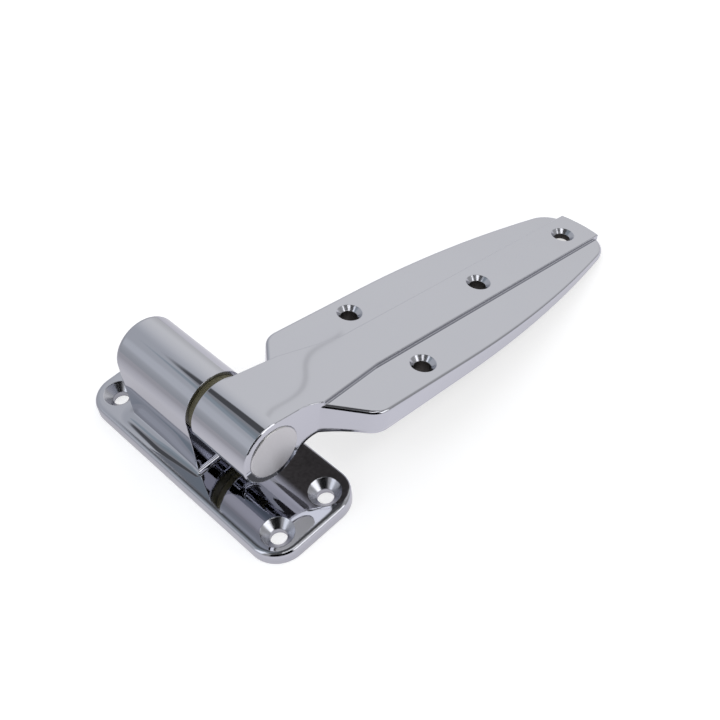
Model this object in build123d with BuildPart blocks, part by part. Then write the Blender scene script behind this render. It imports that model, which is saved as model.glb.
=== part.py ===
# Cold room door hinge: an offset strap hinge in chromed zinc, lying loose on a table, with the base
# flat and the strap swung down until its tip rests. The origin is the middle of the base's underside,
# +X runs along the strap, +Y along the hinge axis and +Z up. All sizes are in millimetres.
import os
from math import asin, atan2, cos, degrees, hypot, radians, sin, sqrt, tan

from build123d import *

os.makedirs("parts", exist_ok=True)

# Screws: every hole passes the same countersunk screw, with a wider countersink in the base
screw_hole = 6.5
base_sink = 12.8
strap_sink = 10.3
sink_angle = 90.0

# Base plate
plate_length = 117.0
plate_width = 45.0
plate_corner = 12.0
plate_thickness = 5.6
plate_edge_round = 1.6
base_pitch_across = 23.5
base_pitch_along = 96.6

# Hinge axis, and the base's barrel on its pedestal
axis_rise = 28.5
barrel_radius = 13.5
barrel_start = -6.6
barrel_length = 43.0
barrel_end_round = 2.5
pedestal_draft = 0.8
core_wall = 4.5
core_web = 4.0
core_depth = 20.0

# Pin and flanged bush
pin_diameter = 12.0
pin_depth = 33.0
pin_chamfer = 0.8
bush_wall = 2.0
flange_thickness = 3.0
flange_inset = 1.4
running_clearance = 0.05
seat_clearance = 0.02
thrust_clearance = 0.1

# Strap's knuckle and its end cap
knuckle_length = 29.5
knuckle_end_chamfer = 0.5
cap_radius = 10.6
cap_seat_depth = 2.0
cap_proud = 0.5
cap_edge_chamfer = 0.3
cap_plug_length = 3.0
pin_end_gap = 1.0

# Strap: all reaches are measured along the strap from the hinge axis
knuckle_overhang = 10.4
neck_far = 18.4
neck_far_end = 16.4
neck_near_end = 13.0
neck_straight = 11.0
neck_end = 20.5
neck_far_reach = 24.0
neck_underside_round = 26.0
shoulder_reach = 19.0
shoulder_far_root = 15.8
shoulder_near_root = 12.0
shoulder_angle = 51.0
shoulder_round = 9.0
blade_width = 58.6
blade_bend = 80.0
blade_end = 190.0
tip_corner_reach = 180.0
side_taper = 10.7
tip_half = 9.2
blade_edge_round = 1.5
rib_step = 1.5
rib_half = 10.0
rib_straight = 50.0
rib_end = 190.5
rib_end_bulge = 1.0
rib_edge_round = 0.5
neck_thickness = 12.2
tip_thickness = 3.6
wing_hole_reach = 64.9
wing_hole_pitch = 39.3
mid_hole_reach = 119.6
end_hole_reach = 177.5

# Places along the hinge axis, from the base's barrel to the near end of the knuckle
axis_height = plate_thickness + axis_rise
knuckle_far = barrel_start - thrust_clearance - flange_thickness
knuckle_near = knuckle_far - knuckle_length
strap_middle = knuckle_near + knuckle_overhang
cap_seat_end = knuckle_near + cap_seat_depth
plug_end = cap_seat_end + cap_plug_length
pin_start = plug_end + pin_end_gap
pin_end = barrel_start + pin_depth
pin_radius = pin_diameter / 2
bush_bore = pin_radius + running_clearance
bush_radius = bush_bore + bush_wall

# The strap hangs from the axis until the lower edge of its tip meets the table
rib_top = barrel_radius
wing_top = rib_top - rib_step
rib_tip = rib_end + rib_end_bulge
tip_corner_half = blade_width / 2 - side_taper
tip_height = rib_top - tip_thickness
droop = asin(axis_height / hypot(rib_tip, tip_height)) + atan2(tip_height, rib_tip)
strap_along = (cos(droop), 0, -sin(droop))
strap_normal = (sin(droop), 0, cos(droop))
strap_origin = (0, strap_middle, axis_height)
strap_plan = Plane(origin=strap_origin, x_dir=strap_along, z_dir=strap_normal)
strap_side = Plane(origin=strap_origin, x_dir=strap_along, z_dir=(0, -1, 0))

# Half sections for turned shapes: local x is the distance from the hinge axis, local y runs along it
hinge_axis = Axis((0, 0, axis_height), (0, 1, 0))
section = Plane(origin=(0, 0, axis_height), x_dir=(1, 0, 0), z_dir=(0, 0, 1))

# Base casting: plate, pedestal and barrel in one, cored out below, with a blind bore for the pin
with BuildPart() as base_flange:
    with BuildSketch():
        RectangleRounded(plate_width, plate_length, plate_corner)
    extrude(amount=plate_thickness)
    fillet(base_flange.faces().sort_by(Axis.Z)[-1].edges(), plate_edge_round)
    foot = barrel_radius + pedestal_draft
    with BuildSketch(Plane.XZ.offset(-barrel_start)):
        with BuildLine():
            Polyline(
                (barrel_radius, axis_height),
                (foot, plate_thickness / 2),
                (-foot, plate_thickness / 2),
                (-barrel_radius, axis_height),
            )
            ThreePointArc(
                (-barrel_radius, axis_height),
                (0, axis_height + barrel_radius),
                (barrel_radius, axis_height),
            )
        make_face()
    extrude(amount=-barrel_length)
    barrel_far = barrel_start + barrel_length
    upper_edges = base_flange.edges().filter_by(lambda edge: edge.center().Z > axis_height / 2)
    fillet(upper_edges.filter_by_position(Axis.Y, barrel_far - 0.01, barrel_far + 0.01), barrel_end_round)
    with Locations((0, 0, plate_thickness)):
        with GridLocations(base_pitch_across, base_pitch_along, 2, 2):
            CounterSinkHole(screw_hole / 2, base_sink / 2, counter_sink_angle=sink_angle)
    core_length = (barrel_length - 2 * core_wall - core_web) / 2
    with BuildSketch():
        with Locations((0, barrel_start + barrel_length / 2)):
            with GridLocations(1, core_length + core_web, 1, 2):
                Rectangle(2 * (barrel_radius - core_wall), core_length)
    extrude(amount=core_depth, mode=Mode.SUBTRACT)
    with BuildSketch(Plane.XZ.offset(-barrel_start)):
        with Locations((0, axis_height)):
            Circle(pin_radius + seat_clearance)
    extrude(amount=-pin_depth, mode=Mode.SUBTRACT)
base_flange.part.label = "base_flange"
export_step(base_flange.part, "parts/base_flange.step")

# Hinge pin: a plain steel dowel, pressed into the base's barrel
with BuildPart() as hinge_pin:
    with BuildSketch(Plane.XZ.offset(-pin_start)):
        with Locations((0, axis_height)):
            Circle(pin_radius)
    extrude(amount=pin_start - pin_end)
    chamfer(hinge_pin.edges().filter_by(GeomType.CIRCLE), pin_chamfer)
hinge_pin.part.label = "hinge_pin"
export_step(hinge_pin.part, "parts/hinge_pin.step")

# Bearing bush: nylon sleeve in the knuckle, whose flange shows as a ring between the two knuckles
with BuildPart() as bearing_bush:
    with BuildSketch(section):
        with BuildLine():
            flange_radius = barrel_radius - flange_inset
            flange_face = knuckle_far + flange_thickness
            Polyline(
                (bush_bore, pin_start),
                (bush_radius, pin_start),
                (bush_radius, knuckle_far),
                (flange_radius, knuckle_far),
                (flange_radius, flange_face),
                (bush_bore, flange_face),
                close=True,
            )
        make_face()
    revolve(axis=hinge_axis)
bearing_bush.part.label = "bearing_bush"
export_step(bearing_bush.part, "parts/bearing_bush.step")

# Strap casting: blade with rounded upper edges, then the raised rib and neck, then the knuckle
with BuildPart() as strap:
    # Underside: a plane that thins the strap towards the tip and runs into the knuckle with a blend
    neck_height = rib_top - neck_thickness
    slope = (tip_height - neck_height) / (rib_tip - shoulder_reach)
    root_height = neck_height - slope * shoulder_reach
    lean = atan2(slope, 1)
    axis_drop = -root_height * cos(lean)
    blend_side = neck_underside_round + axis_drop
    blend_along = sqrt((barrel_radius + neck_underside_round) ** 2 - blend_side**2)
    blend_centre = Vector(blend_along, -blend_side).rotate(Axis.Z, degrees(lean))
    blend_start = blend_centre * (barrel_radius / (barrel_radius + neck_underside_round))
    blend_end = blend_centre + Vector(-sin(lean), cos(lean)) * neck_underside_round
    block_depth = wing_top - blend_start.Y

    # Blade: both wings at the lower level
    half_width = blade_width / 2
    shoulder_slope = tan(radians(shoulder_angle))
    with BuildSketch(strap_plan.offset(wing_top)):
        with BuildLine():
            Line((shoulder_reach, -shoulder_near_root), (shoulder_reach, shoulder_far_root))
            for root, side in ((shoulder_far_root, 1), (shoulder_near_root, -1)):
                shoulder_corner = shoulder_reach + (half_width - root) / shoulder_slope
                FilletPolyline(
                    (shoulder_reach, side * root),
                    (shoulder_corner, side * half_width),
                    (blade_bend, side * half_width),
                    radius=shoulder_round,
                )
                edge = TangentArc(
                    (blade_bend, side * half_width),
                    (tip_corner_reach, side * tip_corner_half),
                    tangent=(1, 0),
                )
                TangentArc(edge @ 1, (blade_end, side * tip_half), tangent=edge % 1)
            Line((blade_end, -tip_half), (blade_end, tip_half))
        make_face()
    extrude(amount=-block_depth)
    wing_edges = strap.faces().sort_by(Axis(strap_origin, strap_normal))[-1].edges()
    root_edges = wing_edges.group_by(Axis(strap_origin, strap_along))[0]
    fillet(wing_edges - root_edges, blade_edge_round)

    # Raised rib along the middle, widening into the neck, which flares on its near side
    with BuildSketch(strap_plan.offset(rib_top)):
        with BuildLine():
            Polyline((0, neck_far), (0, -knuckle_overhang), (neck_straight, -knuckle_overhang))
            TangentArc((neck_straight, -knuckle_overhang), (neck_end, -neck_near_end), tangent=(1, 0))
            Polyline((neck_end, -neck_near_end), (rib_straight, -rib_half), (rib_end, -rib_half))
            ThreePointArc((rib_end, -rib_half), (rib_tip, 0), (rib_end, rib_half))
            Polyline(
                (rib_end, rib_half),
                (rib_straight, rib_half),
                (neck_far_reach, neck_far_end),
                (0, neck_far),
            )
        make_face()
    extrude(amount=-block_depth - rib_step)
    rib_face = strap.faces().sort_by(Axis(strap_origin, strap_normal))[-1]
    fillet(rib_face.edges().filter_by(Axis.Y, reverse=True), rib_edge_round)

    # Everything below the underside comes away
    cut_end = rib_tip + barrel_radius
    with BuildSketch(strap_side):
        with BuildLine():
            blend = TangentArc(
                (blend_end.X, blend_end.Y),
                (blend_start.X, blend_start.Y),
                tangent=(-cos(lean), -sin(lean)),
            )
            Polyline(
                blend @ 1,
                (blend_start.X, -2 * barrel_radius),
                (cut_end, -2 * barrel_radius),
                (cut_end, root_height + slope * cut_end),
                blend @ 0,
            )
        make_face()
    extrude(amount=blade_width, both=True, mode=Mode.SUBTRACT)

    # Knuckle, and its bore for the bush with a wider seat for the cap at the near end
    with BuildSketch(section) as knuckle_profile:
        with BuildLine():
            Polyline(
                (0, knuckle_near),
                (barrel_radius, knuckle_near),
                (barrel_radius, knuckle_far),
                (0, knuckle_far),
                close=True,
            )
        make_face()
        chamfer(knuckle_profile.vertices().group_by(Axis.X)[-1], knuckle_end_chamfer)
    revolve(axis=hinge_axis)
    with BuildSketch(section):
        with BuildLine():
            bore_radius = bush_radius + seat_clearance
            seat_radius = cap_radius + seat_clearance
            Polyline(
                (0, knuckle_near),
                (seat_radius, knuckle_near),
                (seat_radius, cap_seat_end),
                (bore_radius, cap_seat_end),
                (bore_radius, knuckle_far),
                (0, knuckle_far),
                close=True,
            )
        make_face()
    revolve(axis=hinge_axis, mode=Mode.SUBTRACT)

    # Screw holes: two through the wings, two along the rib
    with Locations(strap_plan.offset(wing_top).location):
        with Locations((wing_hole_reach, wing_hole_pitch / 2), (wing_hole_reach, -wing_hole_pitch / 2)):
            CounterSinkHole(screw_hole / 2, strap_sink / 2, counter_sink_angle=sink_angle)
    with Locations(strap_plan.offset(rib_top).location):
        with Locations((mid_hole_reach, 0), (end_hole_reach, 0)):
            CounterSinkHole(screw_hole / 2, strap_sink / 2, counter_sink_angle=sink_angle)
strap.part.label = "strap"
export_step(strap.part, "parts/strap.step")

# End cap: a round plug pressed into the knuckle's open end, standing a little proud
with BuildPart() as end_cap:
    with BuildSketch(section) as cap_profile:
        with BuildLine():
            cap_front = knuckle_near - cap_proud
            Polyline(
                (0, cap_front),
                (cap_radius, cap_front),
                (cap_radius, cap_seat_end),
                (bush_radius, cap_seat_end),
                (bush_radius, plug_end),
                (0, plug_end),
                close=True,
            )
        make_face()
        chamfer(cap_profile.vertices().group_by(Axis.X)[-1].sort_by(Axis.Y)[0], cap_edge_chamfer)
    revolve(axis=hinge_axis)
end_cap.part.label = "end_cap"
export_step(end_cap.part, "parts/end_cap.step")
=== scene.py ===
from math import atan2, cos, radians, sin, tan

import bpy
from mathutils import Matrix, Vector


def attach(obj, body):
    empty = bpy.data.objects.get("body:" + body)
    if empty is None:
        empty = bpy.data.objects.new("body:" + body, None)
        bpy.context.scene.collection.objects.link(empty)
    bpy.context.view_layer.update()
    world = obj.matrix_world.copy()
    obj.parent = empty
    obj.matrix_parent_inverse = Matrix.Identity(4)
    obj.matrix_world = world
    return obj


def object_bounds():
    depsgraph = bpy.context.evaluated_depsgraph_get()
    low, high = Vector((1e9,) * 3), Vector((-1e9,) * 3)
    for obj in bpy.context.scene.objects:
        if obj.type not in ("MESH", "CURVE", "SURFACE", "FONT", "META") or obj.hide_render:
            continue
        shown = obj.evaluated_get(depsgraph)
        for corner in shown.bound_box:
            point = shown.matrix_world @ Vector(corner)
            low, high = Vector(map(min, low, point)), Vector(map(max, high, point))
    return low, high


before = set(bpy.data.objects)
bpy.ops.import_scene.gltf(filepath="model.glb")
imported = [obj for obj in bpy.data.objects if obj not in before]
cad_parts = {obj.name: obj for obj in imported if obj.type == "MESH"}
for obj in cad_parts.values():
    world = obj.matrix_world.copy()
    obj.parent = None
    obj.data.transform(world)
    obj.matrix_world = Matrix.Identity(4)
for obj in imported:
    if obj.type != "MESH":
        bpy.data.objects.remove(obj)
cad_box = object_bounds()


# Base casting: die-cast zinc, polished and plated with bright chrome. Its plate, pedestal and barrel
# are one piece, which four countersunk screws hold to the door frame. Polishing leaves the flat
# faces faintly wavy, which shows only in what they mirror.
class Wire:
    """A shader socket that takes plain arithmetic."""

    def __init__(self, socket):
        self.socket = socket
        self.tree = socket.id_data

    def node(self, kind, settings, values, output=0):
        """Adds a node of any kind: its settings first, then the values or links of its sockets."""
        made = self.tree.nodes.new(kind)
        for name, value in settings.items():
            setattr(made, name, value)
        for key, value in values.items():
            if isinstance(value, Wire):
                self.tree.links.new(value.socket, made.inputs[key])
            else:
                made.inputs[key].default_value = value
        return Wire(made.outputs[output])

    def math(self, operation, *values):
        return self.node("ShaderNodeMath", {"operation": operation}, dict(enumerate(values)))

    def __add__(self, other):
        return self.math("ADD", self, other)

    def __radd__(self, other):
        return self.math("ADD", other, self)

    def __sub__(self, other):
        return self.math("SUBTRACT", self, other)

    def __rsub__(self, other):
        return self.math("SUBTRACT", other, self)

    def __mul__(self, other):
        return self.math("MULTIPLY", self, other)

    def __rmul__(self, other):
        return self.math("MULTIPLY", other, self)

    def ramp(self, start, end):
        """0 below start, 1 above end, with a soft slope between."""
        settings = {"interpolation_type": "SMOOTHSTEP"}
        return self.node("ShaderNodeMapRange", settings, {0: self, 1: start, 2: end})

    def between(self, low, high, soft):
        """1 from low to high, fading to 0 over a soft edge on each side."""
        return self.ramp(low - soft, low) * (1 - self.ramp(high, high + soft))

    def colour(self, low, high):
        """A colour: low where this wire is 0, high where it is 1."""
        low, high = (end if isinstance(end, Wire) else (*end, 1.0) for end in (low, high))
        return self.node("ShaderNodeMix", {"data_type": "RGBA"}, {0: self, 6: low, 7: high}, output=2)

    def vector(self, operation, other, output="Vector"):
        """Vector maths on this wire and another vector."""
        return self.node("ShaderNodeVectorMath", {"operation": operation}, {0: self, 1: other}, output)

    def part(self, axis):
        """One of the three numbers of a place or direction."""
        return self.node("ShaderNodeSeparateXYZ", {}, {0: self}, axis)


def start_material(name):
    """A new material with its surface shader and a wire that gives places on the object."""
    material = bpy.data.materials.new(name)
    material.use_nodes = True
    shader = material.node_tree.nodes["Principled BSDF"]
    places = Wire(material.node_tree.nodes.new("ShaderNodeTexCoord").outputs["Object"])
    return material, shader, places


def plug(wire, shader, name):
    wire.tree.links.new(wire.socket, shader.inputs[name])


def clouds(places, scale, detail, seed):
    """Soft noise, the same on every run."""
    values = {"Vector": places, "W": seed, "Scale": scale, "Detail": detail}
    return places.node("ShaderNodeTexNoise", {"noise_dimensions": "4D"}, values)


def softened(places, radius, samples):
    """The surface's facing, with every edge rounded over this radius."""
    return places.node("ShaderNodeBevel", {"samples": samples}, {"Radius": radius}, output="Normal")


def bright_chrome(
    name, colours, haze, wave_height, seed, unpolished_and_shaded=None, blended=None, turned=None, edged=True
):
    """Polished chrome plate: a cool mirror with a breath of haze and slow waves from the polishing.

    Where the mask for the dark places is 1 the surface is rough and nearly black: partly the bare
    casting, partly painted shade.
    Where the mask from turned is 1 a cutter left a finer, hazier finish. Every edge is a little
    soft, unless edged is false, and where the mask from blended is 1 the rounds are broader.
    """
    material, shader, places = start_material(name)
    shader.inputs["Metallic"].default_value = 1.0
    cloud = clouds(places, 55.0, 3.0, seed)
    tint = cloud.colour(*colours)
    roughness = haze + 0.02 * cloud
    if unpolished_and_shaded:
        dull_and_shaded = unpolished_and_shaded(places)
        grain = places.node("ShaderNodeTexNoise", {}, {"Vector": places, "Scale": 700.0, "Detail": 4.0})
        # Painted shade: this dark grain colour stands for the shade under the strap and in its screw
        # holes, on top of the bare casting.
        tint = dull_and_shaded.colour(tint, grain.colour((0.035, 0.032, 0.03), (0.12, 0.112, 0.105)))
        roughness = roughness + 0.4 * dull_and_shaded
    if turned:
        roughness = roughness + 0.2 * turned(places)
    relief = {"Height": clouds(places, 28.0, 1.0, seed + 7.0), "Strength": 1.0, "Distance": wave_height}
    if edged:
        relief["Normal"] = softened(places, 0.0005, 6)
    if blended:
        facings = {0: blended(places), 4: relief["Normal"], 5: softened(places, 0.0026, 16)}
        relief["Normal"] = places.node("ShaderNodeMix", {"data_type": "VECTOR"}, facings, output=1)
    plug(tint, shader, "Base Color")
    plug(roughness, shader, "Roughness")
    plug(places.node("ShaderNodeBump", {}, relief), shader, "Normal")
    return material


def dress(node, material):
    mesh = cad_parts[node].data
    mesh.materials.clear()
    mesh.materials.append(material)


base_screw = (0.01175, 0.0483, 0.0)
base_sink_radius = 0.0064


def from_base_screw(places):
    """Distance from the nearest of the plate's four screw axes."""
    folded = places.vector("ABSOLUTE", (0.0, 0.0, 0.0))
    return folded.vector("MULTIPLY", (1.0, 1.0, 0.0)).vector("DISTANCE", base_screw, "Value")


def blended_base(places):
    """1 on the plate, but not round the screw holes."""
    clear_of_holes = from_base_screw(places).ramp(base_sink_radius + 0.0008, base_sink_radius + 0.0022)
    return (1 - places.part("Z").ramp(0.010, 0.013)) * clear_of_holes


def turned_base(places):
    """1 in the plate's countersinks."""
    return 1 - from_base_screw(places).ramp(base_sink_radius - 0.0004, base_sink_radius)


polished = ((0.545, 0.552, 0.6), (0.56, 0.567, 0.61))
mirror_haze = 0.02
casting_waves = 0.00006
base_seed = 1.0
dress(
    "base_flange",
    bright_chrome(
        "base chrome",
        polished,
        mirror_haze,
        casting_waves,
        base_seed,
        blended=blended_base,
        turned=turned_base,
    ),
)

# The foot of the base's pedestal: the casting sweeps up from the plate in a hollow round, which the
# polishing wheel has opened out along the sides. It is made as a thin closed strip in the corner.
plate_top = 0.0056
foot_half_width = 0.01423
pedestal_near, pedestal_far = -0.0066, 0.0364
near_corner, far_corner = 0.00006, 0.0025
wall_lean = atan2(0.0008, 0.0313)


def foot_line():
    """Steps round the pedestal where it stands on the plate: place, way outwards, lean of the wall."""
    turn_step, side_steps = 6, 12
    corners = (
        (1, pedestal_near + near_corner, near_corner, -90),
        (1, pedestal_far - far_corner, far_corner, 0),
        (-1, pedestal_far - far_corner, far_corner, 90),
        (-1, pedestal_near + near_corner, near_corner, 180),
    )
    steps = []
    for side, centre_along, rounding, first in corners:
        centre = Vector((side * (foot_half_width - rounding), centre_along, plate_top))
        for turn in range(0, 91, turn_step):
            angle = radians(first + turn)
            outwards = Vector((cos(angle), sin(angle), 0.0))
            place = centre + rounding * outwards
            if turn == 0 and first in (0, 180):
                before = steps[-1][0]
                for number in range(1, side_steps):
                    steps.append((before.lerp(place, number / side_steps), outwards, wall_lean))
            steps.append((place, outwards, wall_lean * abs(cos(angle))))
    return steps


def foot_width(place, outwards):
    """How far the sweep reaches out onto the plate, and how steeply it meets the wall.

    It is a small full round at the near end, and elsewhere a low sweep that broadens away from it.
    """
    endways = outwards.y * outwards.y
    low = 1.0 - endways if place.y < 0 else 1.0
    broad = min((place.y - pedestal_near) / 0.021, 1.0)
    width = 0.002 + low * (0.0008 + 0.0032 * broad) - 0.0014 * broad * endways
    return width, radians(88.0 - 58.0 * low)


def foot_sweep(sunk, slices):
    """The hollow sweep from plate to pedestal, sunk a little into both."""
    up = Vector((0.0, 0.0, 1.0))
    points, normals, faces, smooth = [], [], [], []
    steps = foot_line()
    for place, outwards, lean in steps:
        width, steepest = foot_width(place, outwards)
        radius = width / sin(steepest)
        for number in range(slices + 1):
            slope = steepest * number / slices
            rise = radius * (1 - cos(slope))
            reach = width - radius * sin(slope) - rise * tan(lean)
            points.append(place + reach * outwards + rise * up)
            normals.append(sin(slope) * outwards + cos(slope) * up if number in (0, slices) else Vector())
        top, rim = points[-1], place + width * outwards
        hidden = (top - sunk * outwards, place - sunk * (outwards + up), rim - sunk * up)
        points.extend(hidden)
        normals.extend(Vector() for _ in hidden)
    ring = len(points) // len(steps)
    for step in range(len(steps)):
        here, there = step * ring, (step + 1) % len(steps) * ring
        for corner in range(ring):
            onwards = (corner + 1) % ring
            faces.append((here + corner, there + corner, there + onwards, here + onwards))
            smooth.append(corner < slices)
    mesh = bpy.data.meshes.new("foot_sweep")
    mesh.from_pydata(points, [], faces)
    mesh.polygons.foreach_set("use_smooth", smooth)
    mesh.normals_split_custom_set_from_vertices(normals)
    return bpy.data.objects.new("foot_sweep", mesh)


sweep = foot_sweep(sunk=0.00004, slices=20)
sweep.data.materials.append(
    bright_chrome("foot chrome", polished, mirror_haze, casting_waves, base_seed, edged=False)
)
bpy.context.collection.objects.link(sweep)
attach(sweep, "base")


# Hinge pin: a ground steel dowel pressed into the base's barrel, out of sight in the assembled hinge.
# Grinding leaves fine lines around it.
def ground_steel(name):
    material, shader, places = start_material(name)
    shader.inputs["Metallic"].default_value = 1.0
    marks = {"Vector": places, "Scale": 900.0, "Distortion": 2.0, "Detail": 2.0}
    lines = places.node("ShaderNodeTexWave", {"bands_direction": "Y"}, marks, output=1)
    plug(lines.colour((0.42, 0.42, 0.43), (0.5, 0.5, 0.51)), shader, "Base Color")
    plug(0.25 + 0.12 * lines, shader, "Roughness")
    return material


dress("hinge_pin", ground_steel("ground steel"))


# Bearing bush: a moulded nylon sleeve in the strap's knuckle. Its flange fills the gap between the
# two knuckles and shows there as an olive ring, with a faint mottle from the moulding.
def moulded_nylon(name):
    material, shader, places = start_material(name)
    mottle = places.node("ShaderNodeTexNoise", {}, {"Vector": places, "Scale": 300.0, "Detail": 4.0})
    plug(mottle.colour((0.14, 0.125, 0.062), (0.17, 0.155, 0.085)), shader, "Base Color")
    plug(0.32 + 0.12 * mottle, shader, "Roughness")
    return material


dress("bearing_bush", moulded_nylon("olive nylon"))


# Strap casting: the same chromed zinc, with a raised rib, two wings and a knuckle in one piece.
# Four countersunk screws hold it to the door leaf. Its back is left as it was cast and darkened further
# with painted shade, and its screw holes are dark with painted shade.
strap_along = (0.97357, 0.0, -0.2284)
strap_up = (0.2284, 0.0, 0.97357)
hinge_axis = (0.0, 0.0, 0.0341)
strap_screws = ((0.0649, -0.00915), (0.0649, -0.04845), (0.1196, -0.0288), (0.1775, -0.0288))
strap_hole_radius = 0.0035
strap_sink_radius = 0.0052


def on_strap(places, direction):
    """How far a place lies from the hinge axis in one of the strap's own directions."""
    return places.vector("SUBTRACT", hinge_axis).vector("DOT_PRODUCT", direction, "Value")


def from_strap_screw(places):
    """Distance from the nearest of the strap's four screw axes."""
    reach, sideways = on_strap(places, strap_along), places.part("Y")
    nearest = None
    for screw_reach, screw_sideways in strap_screws:
        offset = {0: reach - screw_reach, 1: sideways - screw_sideways}
        spot = reach.node("ShaderNodeCombineXYZ", {}, offset)
        distance = spot.vector("LENGTH", (0.0, 0.0, 0.0), "Value")
        nearest = distance.math("MINIMUM", nearest, distance) if nearest else distance
    return nearest


def unpolished_and_shaded_strap(places):
    """1 on the strap's back, left as cast and darkened as painted shade, and inside its screw holes,
    darkened as painted shade.
    """
    facing = Wire(places.tree.nodes["Texture Coordinate"].outputs["Normal"])
    upward = facing.vector("DOT_PRODUCT", strap_up, "Value")
    back = (1 - upward.ramp(-0.8, -0.6)) * on_strap(places, strap_along).ramp(0.009, 0.016)
    holes = 1 - from_strap_screw(places).ramp(strap_hole_radius - 0.0002, strap_hole_radius)
    return back.math("MAXIMUM", back, holes)


def blended_strap(places):
    """1 low on the shoulders, where the neck's sides run into the blade's."""
    low = 1 - on_strap(places, strap_up).ramp(0.005, 0.009)
    return on_strap(places, strap_along).between(0.014, 0.042, 0.004) * low


def turned_strap(places):
    """Most of the way to 1 in the strap's countersinks, which are brighter than the plate's."""
    return 0.6 * (1 - from_strap_screw(places).ramp(strap_sink_radius - 0.0004, strap_sink_radius))


strap_seed = 4.0
dress(
    "strap",
    bright_chrome(
        "strap chrome",
        polished,
        mirror_haze,
        casting_waves,
        strap_seed,
        unpolished_and_shaded=unpolished_and_shaded_strap,
        blended=blended_strap,
        turned=turned_strap,
    ),
)


# End cap: a round metal plug pressed into the knuckle's open end, which closes it over the pin.
# It is chromed like the castings but less polished, so it shines softly.
satin = ((0.65, 0.645, 0.65), (0.68, 0.675, 0.68))
satin_haze = 0.33
cap_waves = 0.00003
cap_seed = 9.0
dress("end_cap", bright_chrome("satin cap chrome", satin, satin_haze, cap_waves, cap_seed))


# Studio table: pale and plain. It is white to the eye and keeps the hinge's shadow. In the metal it
# glows with painted light, brighter towards the viewer's right, with a painted shadow close under the
# hinge.
table_size = 8.0
table_drop = 0.0002
bpy.ops.mesh.primitive_plane_add(size=table_size, location=(0.0, 0.0, cad_box[0][2] - table_drop))
table = bpy.context.object
table.name = "table"
table_material, table_shader, places = start_material("white table")
table_shader.inputs["Base Color"].default_value = (0.86, 0.86, 0.87, 1.0)
table_shader.inputs["Roughness"].default_value = 1.0
table_shader.inputs["Specular IOR Level"].default_value = 0.0
table_shader.inputs["Emission Strength"].default_value = 1.0
seen = places.node("ShaderNodeLightPath", {}, {}, output="Is Camera Ray")
plug(seen.colour((0.0, 0.0, 0.0), (0.65, 0.65, 0.65)), table_shader, "Emission Color")
mirrored = places.node("ShaderNodeLightPath", {}, {}, output="Is Glossy Ray")
# Painted light and shadow: in mirrors the table glows, brighter to the right front and darker where the
# hinge hides the sky.
painted_shadow_open_sky = places.node("ShaderNodeAmbientOcclusion", {"samples": 8}, {"Distance": 0.03}, output="AO")
painted_light_right_front = places.vector("DOT_PRODUCT", (0.6, -0.8, 0.0), "Value").ramp(-0.25, 0.12)
painted_light_and_shadow = (0.5 + 0.42 * painted_light_right_front) * (0.5 + 0.5 * painted_shadow_open_sky)
paper_tint = (1.0, 0.985, 1.04)
painted_reflection_colour = places.node(
    "ShaderNodeVectorMath", {"operation": "SCALE"}, {"Vector": paper_tint, "Scale": painted_light_and_shadow}
)
painted_glow = places.node("ShaderNodeEmission", {}, {"Color": painted_reflection_colour, "Strength": 1.0})
plain = Wire(table_shader.outputs["BSDF"])
both = plain.node("ShaderNodeMixShader", {}, {0: mirrored, 1: plain, 2: painted_glow})
plug(both, table_material.node_tree.nodes["Material Output"], "Surface")
table.data.materials.append(table_material)

# Studio walls: white paper up to a dark ceiling, brightest to the right and dimmer and cooler behind,
# a dark gap where the viewer stands, and three lamps with soft screens. To the eye the backdrop is
# plain white. All places are given in degrees round the table and up from it.
world = bpy.data.worlds.new("studio")
bpy.context.scene.world = world
world.use_nodes = True
background = world.node_tree.nodes["Background"]
way = Wire(world.node_tree.nodes.new("ShaderNodeTexCoord").outputs["Generated"])
to_degrees = 1.0 / radians(1.0)
azimuth = to_degrees * way.math("ARCTAN2", way.part("Y"), way.part("X"))
elevation = to_degrees * way.math("ARCSINE", way.part("Z"))

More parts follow.
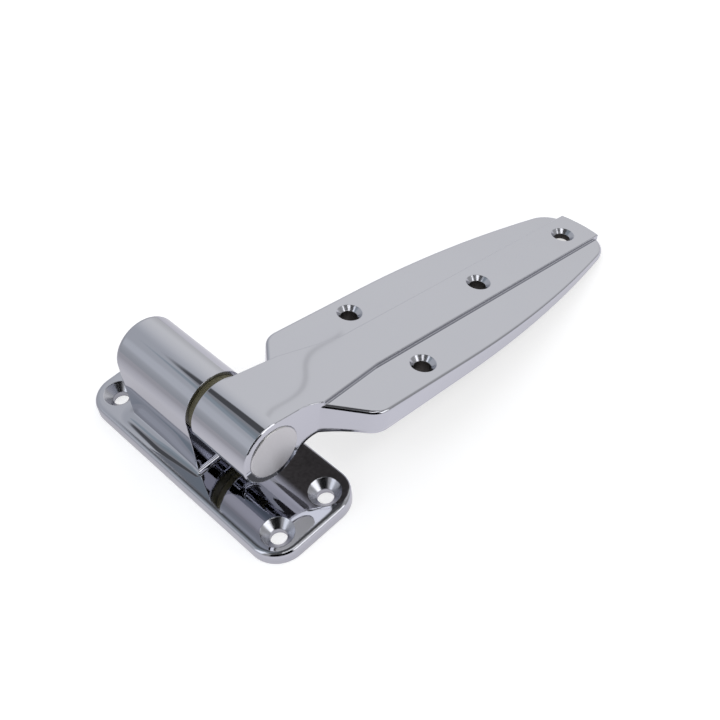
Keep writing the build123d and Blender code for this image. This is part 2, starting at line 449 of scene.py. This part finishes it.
# The paper, with one thin fold in it and a brighter patch and a dark corner at the back left.
far_wall = azimuth.ramp(34.0, 92.0)
near_wall = 1 - azimuth.ramp(-38.0, 8.0)
paper = (0.88 - 0.31 * far_wall - 0.44 * near_wall) * (0.8 + 0.2 * elevation.ramp(2.0, 26.0))
fold_foot = 28.9
above_foot = elevation - fold_foot
fold_line = 37.8 + 0.42 * above_foot + 0.4 * elevation.math("SINE", 1.8 * above_foot)
from_fold = azimuth.math("ABSOLUTE", azimuth - fold_line)
fold = (1 - from_fold.ramp(0.06, 0.24)) * elevation.between(28.4, 33.2, 0.6)
bright_patch = 0.1 * azimuth.between(131.0, 150.0, 9.0) * elevation.between(25.0, 35.0, 9.0)
corner = azimuth.between(111.0, 150.0, 4.0) * elevation.ramp(46.0, 48.5)
walls = paper * (1 - 0.2 * fold) + bright_patch - 0.15 * corner

# The ceiling starts higher to the right than behind.
ceiling_lift = 9.0 * (1 - azimuth.ramp(36.0, 100.0))
ceiling = (elevation - ceiling_lift).ramp(50.6, 52.4)
ceiling_tone = 0.1 + 0.24 * azimuth.between(101.0, 153.0, 3.0)
room = walls - (walls - ceiling_tone) * ceiling

# The viewer's dark gap, the lamps, and the dark stretch of wall above the low lamp.
gap = azimuth.between(-158.0, -92.0, 4.0) * (1 - elevation.ramp(54.0, 57.0))
low_lamp = azimuth.between(-88.0, -54.0, 4.0) * elevation.between(16.0, 36.0, 3.0)
above_lamp = 0.6 * azimuth.between(-92.0, -54.0, 4.0) * elevation.between(39.0, 54.0, 3.0)
high_lamp = azimuth.between(-122.0, -54.0, 5.0) * elevation.between(56.5, 67.0, 2.0)
side_lamp = azimuth.between(158.0, 177.0, 5.0) * elevation.between(18.0, 62.0, 5.0)
lamps = 2.0 * low_lamp + 1.8 * high_lamp + 1.4 * side_lamp
unlit = (1 - low_lamp) * (1 - high_lamp) * (1 - side_lamp)
tone = room * (1 - gap) * (1 - above_lamp) * unlit + lamps

eye = way.node("ShaderNodeLightPath", {}, {}, output="Is Camera Ray")
cool = (far_wall * (1 - eye)).colour((1.0, 1.0, 1.0), (0.965, 1.0, 1.06))
slate = (corner * (1 - eye)).colour(cool, (0.87, 1.0, 1.1))
level = tone * (1 - eye) + eye
light = slate.node("ShaderNodeVectorMath", {"operation": "SCALE"}, {"Vector": slate, "Scale": level})
background.inputs["Strength"].default_value = 1.0
plug(light, background, "Color")

# The viewer: above the near left corner of the table, looking down along the strap.
lens = bpy.data.cameras.new("viewer")
lens.sensor_width = 36.0
lens.lens = 53.623
viewer = bpy.data.objects.new("viewer", lens)
viewer.location = (-0.11716, -0.2333, 0.33398)
viewer.rotation_euler = (radians(40.901), radians(4.473), radians(-44.766))
bpy.context.collection.objects.link(viewer)
bpy.context.scene.camera = viewer
bpy.context.scene.view_settings.view_transform = "Standard"
